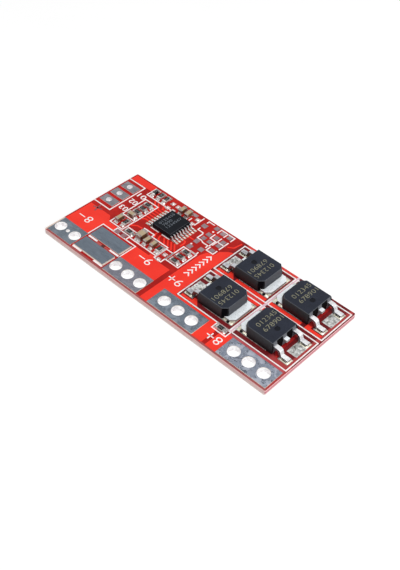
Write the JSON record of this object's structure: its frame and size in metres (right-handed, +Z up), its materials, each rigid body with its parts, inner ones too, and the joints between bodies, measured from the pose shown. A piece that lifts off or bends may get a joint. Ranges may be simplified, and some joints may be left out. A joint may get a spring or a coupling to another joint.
{
  "type": "battery management board",
  "caption": "Narrow red protection board for a battery pack: power transistors, a controller chip, small chip parts, and tinned wire terminals with plated holes.",
  "frame": {"origin": "middle of the board's lower face", "axes": "+X along the board from the cell taps to the transistors, +Y from the wire terminals to the far edge, +Z up, out of the component side"},
  "size_m": [0.05, 0.022, 0.0033],
  "materials": {
    "board_mask": "dark red solder mask over bare laminate, semi-gloss",
    "raised_mask": "bright red solder mask over copper, semi-gloss",
    "tinned_pad": "hot-air levelled tin, grey with a soft sheen",
    "transistor_black": "moulded epoxy, matt",
    "controller_black": "moulded epoxy, matt",
    "bright_tin": "bright tin plate",
    "solder": "tin solder, bright on fillets and dull on flat lands",
    "resistor_black": "black glaze between bright tinned ends",
    "capacitor_ceramic": "fired ceramic, beige-brown, between bright tinned ends"
  },
  "bodies": {
    "root": {"b_minus_terminal": "tinned_pad", "b_plus_terminal": "tinned_pad", "capacitor_1": "capacitor_ceramic", "capacitor_2": "capacitor_ceramic", "capacitor_3": "capacitor_ceramic", "capacitor_4": "capacitor_ceramic", "capacitor_5": "capacitor_ceramic", "capacitor_6": "capacitor_ceramic", "cell_tap_1": "tinned_pad", "cell_tap_2": "tinned_pad", "cell_tap_3": "tinned_pad", "chip_lands": "solder", "controller_body": "controller_black", "controller_lands": "solder", "controller_leads_left": "bright_tin", "controller_leads_right": "bright_tin", "copper_areas": "raised_mask", "copper_tracks": "raised_mask", "filter_capacitor": "capacitor_ceramic", "p_minus_terminal": "tinned_pad", "p_plus_terminal": "tinned_pad", "printed_board": "board_mask", "resistor_1": "resistor_black", "resistor_10": "resistor_black", "resistor_11": "resistor_black", "resistor_12": "resistor_black", "resistor_13": "resistor_black", "resistor_2": "resistor_black", "resistor_3": "resistor_black", "resistor_4": "resistor_black", "resistor_5": "resistor_black", "resistor_6": "resistor_black", "resistor_7": "resistor_black", "resistor_8": "resistor_black", "resistor_9": "resistor_black", "sense_pad_far": "tinned_pad", "sense_pad_near": "tinned_pad", "sense_tap_lands": "tinned_pad", "spare_lands": "solder", "spare_solder": "solder", "transistor_1_body": "transistor_black", "transistor_1_drain_tab": "bright_tin", "transistor_1_gate_lead": "bright_tin", "transistor_1_source_lead": "bright_tin", "transistor_2_body": "transistor_black", "transistor_2_drain_tab": "bright_tin", "transistor_2_gate_lead": "bright_tin", "transistor_2_source_lead": "bright_tin", "transistor_3_body": "transistor_black", "transistor_3_drain_tab": "bright_tin", "transistor_3_gate_lead": "bright_tin", "transistor_3_source_lead": "bright_tin", "transistor_4_body": "transistor_black", "transistor_4_drain_tab": "bright_tin", "transistor_4_gate_lead": "bright_tin", "transistor_4_source_lead": "bright_tin", "transistor_lands": "solder"}
  },
  "joints": []
}
